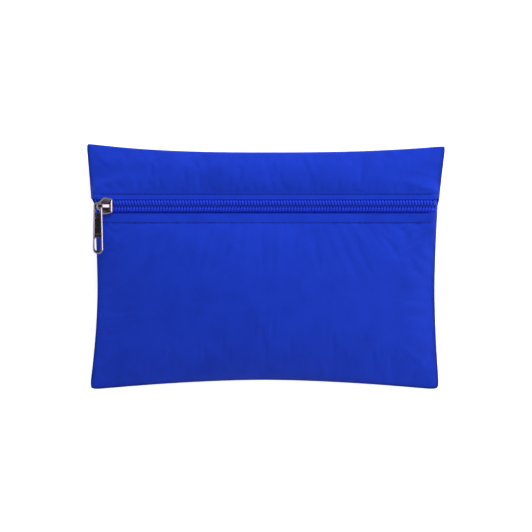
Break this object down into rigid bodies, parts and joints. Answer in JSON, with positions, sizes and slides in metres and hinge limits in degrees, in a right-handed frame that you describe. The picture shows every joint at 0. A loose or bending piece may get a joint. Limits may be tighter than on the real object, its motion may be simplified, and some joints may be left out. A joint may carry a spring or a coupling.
{
  "type": "zipped cash deposit bag",
  "caption": "Small blue cloth money pouch, lightly filled, with a coil zip right across its front, a dark metal slider at the closed end and a flat pull",
  "frame": {"origin": "on the surface the bag lies on, under the middle of the bag's box", "axes": "+X along the zip from its closed end to its open end, +Y from the bottom seam to the top seam, +Z out of the front panel"},
  "size_m": [0.2012, 0.1373, 0.0298],
  "materials": {
    "oxford_cloth": "royal blue Oxford weave, matt with a faint sheen, coated inside",
    "zip_tape": "royal blue twill zip tape",
    "binding": "navy woven binding tape",
    "coil_nylon": "royal blue nylon monofilament, satin",
    "sewing_thread": "blue polyester sewing thread",
    "gunmetal": "polished gunmetal plating on cast zinc"
  },
  "bodies": {
    "bag": {"back_panel": "oxford_cloth", "front_upper_panel": "oxford_cloth", "upper_tape": "zip_tape", "upper_coil": "coil_nylon", "upper_filler_cord": "sewing_thread", "upper_coil_stitching": "sewing_thread", "upper_topstitch": "sewing_thread", "left_seam_stitching": "sewing_thread", "right_seam_stitching": "sewing_thread", "bottom_seam_stitching": "sewing_thread", "top_seam_stitching": "sewing_thread", "left_seam_binding": "binding", "right_seam_binding": "binding", "bottom_seam_binding": "binding", "top_seam_binding": "binding"},
    "lower_lip": {"front_lower_panel": "oxford_cloth", "lower_tape": "zip_tape", "lower_coil": "coil_nylon", "lower_filler_cord": "sewing_thread", "lower_coil_stitching": "sewing_thread", "lower_topstitch": "sewing_thread"},
    "slider": {"slider_body": "gunmetal"},
    "pull": {"pull_tab": "gunmetal"}
  },
  "joints": [
    {"name": "zip_slide", "type": "slide", "parent": "bag", "child": "slider", "axis": [1, 0, 0], "range_m": [0, 0.178], "deforming": ["front_lower_panel", "lower_tape", "lower_coil", "lower_filler_cord", "lower_coil_stitching", "lower_topstitch", "upper_coil", "upper_tape"]},
    {"name": "pull_swivel", "type": "hinge", "parent": "slider", "child": "pull", "pos_m": [-0.09405, 0.0335, 0.02265], "axis": [0, 0, -1], "range_deg": [0, 180]},
    {"name": "mouth_open", "type": "hinge", "parent": "bag", "child": "lower_lip", "pos_m": [0, -0.0637, 0.013], "axis": [1, 0, 0], "range_deg": [0, 15]}
  ],
  "couplings": [
    {"joint": "mouth_open", "follows": "zip_slide", "rad_per_m": 1.47}
  ]
}
